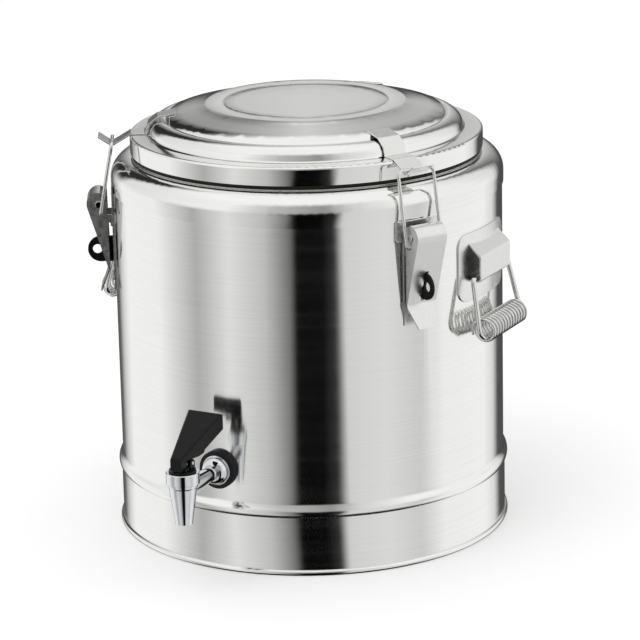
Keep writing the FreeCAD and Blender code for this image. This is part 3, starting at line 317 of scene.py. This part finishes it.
moulded_polyamide = non_metal(
    "moulded_polyamide", "0c0c0d", "131314", (0.20, 0.30), 0.003, 0.10, specular=0.16
)
stoved_black_paint = non_metal(
    "stoved_black_paint", "0b0b0b", "121212", (0.25, 0.38), 0.002, 0.15, specular=0.16
)
black_nitrile_rubber = non_metal(
    "black_nitrile_rubber", "111111", "1b1b1b", (0.5, 0.7), 0.0012, 0.4, specular=0.3
)
translucent_silicone = non_metal(
    "translucent_silicone", "c9c8c2", "dad9d4", (0.35, 0.5), 0.002, 0.2, ior=1.41
)
rigid_foam = non_metal(
    "rigid_foam", "c9b784", "ddcea0", (0.8, 0.95), 0.0008, 0.8, ior=1.45
)
print([black.name for black in (moulded_polyamide, stoved_black_paint, black_nitrile_rubber)])

# %% [markdown]
# ## Edges that have been bent and deburred
# A solid model has perfectly sharp edges, and no real edge is: a stamped sheet has a radius
# of a tenth of a millimetre or two, and moulded plastic has more. A rounded edge matters
# here, because it catches a thin bright line from the studio. The frame's own meshes stay
# untouched. A copy of each piece has its loose triangles merged, its flat faces joined
# again, and its sharp edges rounded, and then it stands for the solid.
#
# A round wall comes as tall, thin triangles. Plain smooth shading tilts its normals up or
# down from one triangle to the next, and a mirror shows that at once. Normals that are
# weighted by the area of the faces stay level, so every copy gets the modifier for that.

# %% Rounded copies
MERGE_DISTANCE = 1e-6
# Angles between two faces, in degrees. Faces that meet flatter than the first are one flat
# face. Edges over the second are rounded, or drawn sharp where a piece stays unrounded.
# Over the third, an edge is drawn sharp on a rounded piece too.
FLAT_ANGLE = 0.5
EDGE_ANGLE = 38
CREASE_ANGLE = 70
EDGE_SEGMENTS = 2
AREA_WEIGHT = 80


def rounded_copy(node_name, width):
    """A copy of a solid with its sharp edges rounded. It replaces the solid in the render.

    The width of the rounding is in metres. At 0 the edges stay as they are.
    """
    source = nodes[node_name]
    shape = bmesh.new()
    shape.from_mesh(source.data)
    bmesh.ops.remove_doubles(shape, verts=shape.verts, dist=MERGE_DISTANCE)
    if width > 0:
        bmesh.ops.dissolve_limit(
            shape,
            angle_limit=math.radians(FLAT_ANGLE),
            verts=shape.verts,
            edges=shape.edges,
        )
    mesh = bpy.data.meshes.new(node_name + "_finished")
    shape.to_mesh(mesh)
    shape.free()
    piece = bpy.data.objects.new(node_name + "_finished", mesh)
    bpy.context.scene.collection.objects.link(piece)
    mesh.shade_smooth()
    if width > 0:
        bevel = piece.modifiers.new("deburred", "BEVEL")
        bevel.width = width
        bevel.segments = EDGE_SEGMENTS
        bevel.limit_method = "ANGLE"
        bevel.angle_limit = math.radians(EDGE_ANGLE)
        bevel.use_clamp_overlap = True
    mesh.set_sharp_from_angle(angle=math.radians(CREASE_ANGLE if width > 0 else EDGE_ANGLE))
    steady = piece.modifiers.new("steady_normals", "WEIGHTED_NORMAL")
    steady.mode = "FACE_AREA"
    steady.weight = AREA_WEIGHT
    steady.keep_sharp = True
    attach(piece, source["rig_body"])
    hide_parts(node_name)
    return piece


print("edges over", EDGE_ANGLE, "degrees are rounded in", EDGE_SEGMENTS, "steps")

# %% [markdown]
# ## Which piece gets which finish
# The list goes from the casing to the lid, the latches, the handles and the tap. A name
# stands for every piece that starts with it, so the three latches share their lines. The
# second value is the width of the piece's rounded edges in millimetres; 0 keeps its edges
# as they are but shades its round faces smoothly.

# %% Finishes and edges
FINISHES = {
    "outer_shell": (belt_finished_steel, 0),
    "base_skirt": (belt_finished_steel, 0),
    "bottom_plate": (satin_tank_steel, 0),
    "shoulder_ring": (buffed_spun_steel, 0),
    "inner_tank": (satin_tank_steel, 0),
    "body_foam": (rigid_foam, 0),
    "lid_cover": (buffed_spun_steel, 0),
    "lid_pan": (satin_tank_steel, 0),
    "lid_foam": (rigid_foam, 0),
    "lid_seal": (black_nitrile_rubber, 0),
    "lid_strap": (tumbled_sheet_steel, 0.25),
    "latch_base": (tumbled_sheet_steel, 0.2),
    "latch_pin": (drawn_wire_steel, 0.25),
    "latch_lever": (tumbled_sheet_steel, 0.25),
    "latch_hook": (drawn_wire_steel, 0),
    "padlock_eye": (stoved_black_paint, 0.35),
    "latch_rivets": (drawn_wire_steel, 0.35),
    "handle_bracket": (tumbled_sheet_steel, 0.3),
    "handle_bail": (drawn_wire_steel, 0),
    "handle_coil": (drawn_wire_steel, 0),
    "tap_sleeve": (moulded_polyamide, 0),
    "tap_gasket": (black_nitrile_rubber, 0.4),
    "tap_flange": (chrome_plated_brass, 0.2),
    "tap_body": (chrome_plated_brass, 0.25),
    "tap_washer": (translucent_silicone, 0.3),
    "tap_back_nut": (chrome_plated_brass, 0.4),
    "tap_collar_nut": (chrome_plated_brass, 0.15),
    "tap_bonnet": (moulded_polyamide, 0.3),
    "tap_valve_stem": (drawn_wire_steel, 0.25),
    "tap_cross_pin": (drawn_wire_steel, 0.2),
    "tap_seat_cup": (translucent_silicone, 0.3),
    "tap_valve_spring": (drawn_wire_steel, 0),
    "tap_lever_pin": (drawn_wire_steel, 0.2),
    "tap_lever": (moulded_polyamide, 0.6),
}


def finish_of(node_name):
    """The finish and edge width of the longest name that the node's name starts with."""
    for start in sorted(FINISHES, key=len, reverse=True):
        if node_name.startswith(start):
            return FINISHES[start]
    raise KeyError(node_name)


for node_name in sorted(nodes):
    finish, edge_width = finish_of(node_name)
    piece = rounded_copy(node_name, edge_width / MM_PER_METRE)
    piece.data.materials.append(finish)
print(len(nodes), "pieces finished")

# %% [markdown]
# ## The studio
# A mirror has no colour of its own, so most of this picture is the room. The room is drawn
# in the sky around the scene: white to the camera and to matt surfaces, and hung with soft
# boxes and black flags for mirrors. Every piece of it is placed by an angle from the
# camera's side, positive to the right, and by its height above the horizon:
#
# - the low band, from 40 to 4 degrees below the horizon, is what the drum mirrors. A spot
#   on the drum that faces some angle away from the camera mirrors twice that angle, so a
#   narrow black flag behind the camera becomes the tall black stripe in the middle;
# - the high band, from 12 to 40 degrees above, is what the lid's flats and slopes mirror,
#   mostly from behind the urn;
# - overhead hangs one large white box, and the ground is dark, so wires and coils turn
#   from white on top to black below.
#
# The room stays where it is when the view moves, as a real one does.

# %% Bands of the room
# Greys by the angle from the camera's side, and the heights between which one band
# blends into the next, all in degrees.
LOW_BAND = [
    (-180, "4a4a4a"), (-158, "606060"), (-147, "d2d2d2"), (-136, "fafafa"), (-100, "f8f8f8"),
    (-70, "b2b2b2"), (-48, "e6e6e6"), (-26, "c4c4c4"), (-13, "7c7c7c"), (-8, "060606"),
    (7, "0a0a0a"), (15, "2c2c2c"), (20, "d8d8d8"), (45, "e2e2e2"), (66, "d2d2d2"),
    (84, "f6f6f6"), (124, "fafafa"), (138, "e0e0e0"), (148, "505050"), (180, "4a4a4a"),
]
HIGH_BAND = [
    (-180, "d6d6d6"), (-170, "9c9c9c"), (-160, "2c2c2c"), (-143, "303030"), (-134, "e8e8e8"),
    (-50, "fcfcfc"), (-20, "c0c0c0"), (10, "989898"), (26, "d8d8d8"), (60, "fcfcfc"),
    (110, "f8f8f8"), (140, "e4e4e4"), (152, "6a6a6a"), (166, "a8a8a8"), (180, "d6d6d6"),
]
GROUND, GROUND_TO_LOW = "0a0a0a", (-56, -40)
LOW_TO_HIGH = (-4, 12)
HIGH_TO_CEILING, CEILING = (40, 62), "fcfcfc"
WHITE = "ffffff"
print(len(LOW_BAND), "stops low,", len(HIGH_BAND), "stops high")

# %% [markdown]
# ## Three tools that draw the bands
# A photograph of a studio could be wrapped round the scene instead, but a few greys are
# easier to place and to move. A colour ramp holds one band, read by the angle round the
# urn. Where two bands meet, a smooth step between two heights blends them, because soft
# boxes seen in brushed steel have no hard ends.

# %% Band tools
FULL_TURN, HALF_TURN = 360, 180


def angle_ramp(tree, turn, stops):
    """Greys by the angle from the camera's side, blended from stop to stop."""
    ramp = add_node(tree, "ShaderNodeValToRGB", n0=turn)
    elements = ramp.color_ramp.elements
    while len(elements) > 1:
        elements.remove(elements[-1])
    for index, (angle, grey) in enumerate(stops):
        place = (angle + HALF_TURN) / FULL_TURN
        element = elements[0] if index == 0 else elements.new(place)
        element.position = place
        element.color = linear(grey)
    return ramp.outputs[0]


def by_height(tree, height, heights):
    """0 below the first height and 1 above the second, in degrees, with soft ends."""
    low, high = (math.sin(math.radians(degrees)) for degrees in heights)
    return add_node(
        tree,
        "ShaderNodeMapRange",
        {"interpolation_type": "SMOOTHSTEP"},
        n0=height,
        n1=low,
        n2=high,
    ).outputs[0]


def blended(tree, factor, below, above):
    """One colour where the factor is 0 and another where it is 1."""
    mix = add_node(tree, "ShaderNodeMix", {"data_type": "RGBA"}, n0=factor)
    for index, colour in ((6, below), (7, above)):
        if isinstance(colour, bpy.types.NodeSocket):
            tree.links.new(colour, mix.inputs[index])
        else:
            mix.inputs[index].default_value = linear(colour)
    return mix.outputs[2]


print("band tools:", [tool.__name__ for tool in (angle_ramp, by_height, blended)])

# %% [markdown]
# ## The sky
# The direction of a ray is turned so that 0 degrees lies on the camera's side, and becomes
# an angle and a height. The bands are then stacked from the ground up. Only mirror rays see
# them: the camera and matt surfaces get plain white, which keeps the background clean and
# the light even. Importance sampling would light mirrors with that plain white as well and
# wash out the flags, so it is switched off.

# %% Sky
QUARTER_TURN = 90

world = bpy.data.worlds.new("studio")
bpy.context.scene.world = world
world.use_nodes = True
world.cycles.sampling_method = "NONE"
tree = world.node_tree
tree.nodes.clear()
ray = add_node(tree, "ShaderNodeTexCoord").outputs["Generated"]
turned = add_node(
    tree,
    "ShaderNodeVectorRotate",
    {"rotation_type": "Z_AXIS"},
    Vector=ray,
    Angle=math.radians(QUARTER_TURN - CAMERA_ANGLE),
)
parts = add_node(tree, "ShaderNodeSeparateXYZ", n0=turned.outputs[0])
angle = add_node(
    tree, "ShaderNodeMath", {"operation": "ARCTAN2"}, n0=parts.outputs[1], n1=parts.outputs[0]
)
turn = add_node(
    tree, "ShaderNodeMapRange", n0=angle.outputs[0], n1=-math.pi, n2=math.pi
).outputs[0]
height = parts.outputs[2]
low_band = angle_ramp(tree, turn, LOW_BAND)
high_band = angle_ramp(tree, turn, HIGH_BAND)
room = blended(tree, by_height(tree, height, GROUND_TO_LOW), GROUND, low_band)
room = blended(tree, by_height(tree, height, LOW_TO_HIGH), room, high_band)
room = blended(tree, by_height(tree, height, HIGH_TO_CEILING), room, CEILING)
glossy = add_node(tree, "ShaderNodeLightPath").outputs["Is Glossy Ray"]
seen = blended(tree, glossy, WHITE, room)
sky = add_node(tree, "ShaderNodeBackground", Color=seen, Strength=1.0)
add_node(tree, "ShaderNodeOutputWorld", Surface=sky.outputs[0])
print("the sky has", len(tree.nodes), "nodes")

# %% [markdown]
# ## The floor
# The floor is white paper. It has to be white to the camera and still take the soft shadow
# where the urn stands, so it is a plain matte white that the room lights fully. The urn
# doesn't mirror it, as if it stood on a small table and the studio went on below the edge.

# %% Floor
FLOOR_REACH = 12
PAPER_GRAIN, PAPER_GRAIN_DEPTH = 900.0, 0.02

paper, tree, shader = start_material("white_paper", Roughness=0.9, Base_Color=linear(WHITE))
grain = add_node(tree, "ShaderNodeTexNoise", Scale=PAPER_GRAIN, Detail=2.0).outputs[0]
bump = add_node(
    tree, "ShaderNodeBump", Strength=PAPER_GRAIN_DEPTH, Distance=GRAIN_HEIGHT, Height=grain
)
tree.links.new(bump.outputs[0], shader.inputs["Normal"])
mesh = bpy.data.meshes.new("floor")
corners = [(x * FLOOR_REACH, y * FLOOR_REACH, 0) for x, y in ((-1, -1), (1, -1), (1, 1), (-1, 1))]
mesh.from_pydata(corners, [], [(0, 1, 2, 3)])
mesh.materials.append(paper)
floor = bpy.data.objects.new("floor", mesh)
bpy.context.scene.collection.objects.link(floor)
floor.visible_glossy = False
print("floor of", 2 * FLOOR_REACH, "m at z = 0")

# %% [markdown]
# ## One lamp
# The room already lights everything from all round. One wide soft lamp above and to the
# left gives the plastic a direction and the floor a shadow that falls to the right. It is
# kept out of reflections, where the bands of the room do the drawing.

# %% Lamp
MIDDLE_OF_URN = Vector((0, 0, 0.2))

lamp_data = bpy.data.lights.new("lamp_above", "AREA")
lamp_data.size = 1.6
lamp_data.energy = 12.0
lamp = bpy.data.objects.new("lamp_above", lamp_data)
lamp.location = around_the_urn(-40, distance=1.2, height=2.6)
lamp.rotation_mode = "QUATERNION"
lamp.rotation_quaternion = (MIDDLE_OF_URN - lamp.location).to_track_quat("-Z", "Y")
lamp.visible_glossy = False
bpy.context.scene.collection.objects.link(lamp)
print("a lamp of", lamp_data.energy, "W and", round(lamp_data.size, 1), "m at", list(lamp.location))

# %% [markdown]
# ## The camera
# The place and lens were fitted to the ellipses of the rims. It is a long lens, 2.66 m from
# the axis and 0.95 m up, that looks down by 16 degrees and is rolled by a little over 1.
# The fit gave the focal length and the centre of the picture in pixels, which turn into
# millimetres on the sensor and into a small shift.

# %% Camera
DISTANCE, HEIGHT = 2.6564, 0.9495
PITCH, ROLL = 0.28164, -0.022693
FOCAL_PIXELS, CENTRE_X, CENTRE_Y = 3033.665, 310.4, 319.98
SENSOR_WIDTH = 36.0

camera_data = bpy.data.cameras.new("camera")
camera_data.sensor_width = SENSOR_WIDTH
camera_data.lens = FOCAL_PIXELS / IMAGE_SIZE * SENSOR_WIDTH
camera_data.shift_x = (IMAGE_SIZE / 2 - CENTRE_X) / IMAGE_SIZE
camera_data.shift_y = (CENTRE_Y - IMAGE_SIZE / 2) / IMAGE_SIZE
camera_data.clip_start, camera_data.clip_end = 0.05, 60.0
camera = bpy.data.objects.new("camera", camera_data)
camera.location = around_the_urn(0, DISTANCE, HEIGHT)
turn = math.radians(CAMERA_ANGLE)
ahead = Vector(
    (-math.sin(turn) * math.cos(PITCH), math.cos(turn) * math.cos(PITCH), -math.sin(PITCH))
)
upright = ahead.to_track_quat("-Z", "Y")
camera.rotation_mode = "QUATERNION"
camera.rotation_quaternion = upright @ Quaternion((0, 0, 1), ROLL)
bpy.context.scene.collection.objects.link(camera)
bpy.context.scene.camera = camera
bpy.context.scene.view_settings.view_transform = "Standard"
print("lens", round(camera_data.lens, 1), "mm")
